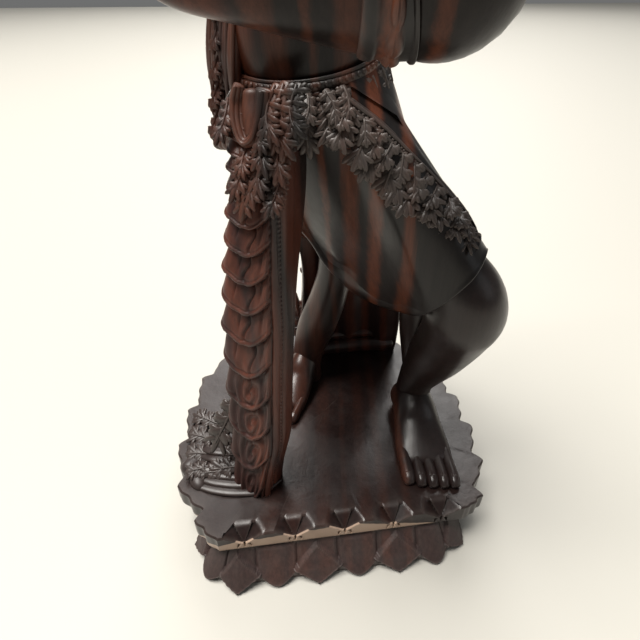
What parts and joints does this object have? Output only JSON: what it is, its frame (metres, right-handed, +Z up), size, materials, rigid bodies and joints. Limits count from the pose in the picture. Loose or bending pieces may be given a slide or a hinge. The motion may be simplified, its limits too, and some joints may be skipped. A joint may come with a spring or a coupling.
{
  "type": "deity statue",
  "caption": "Carved dark hardwood deity with several arms and a tiered crown, striding on a lobed slab over a petalled lotus plinth.",
  "frame": {"origin": "middle of the plinth's underside", "axes": "+Z up, -Y to the straight front edge of the base, +X to the statue's left-hand side as it stands"},
  "size_m": [0.2149, 0.225, 0.552],
  "materials": {
    "striped_wood": "hand carved, waxed to a soft gloss",
    "plinth_wood": "hand carved, thinly waxed"
  },
  "bodies": {
    "root": {"statue": "striped_wood", "lotus_plinth": "plinth_wood"}
  },
  "joints": []
}
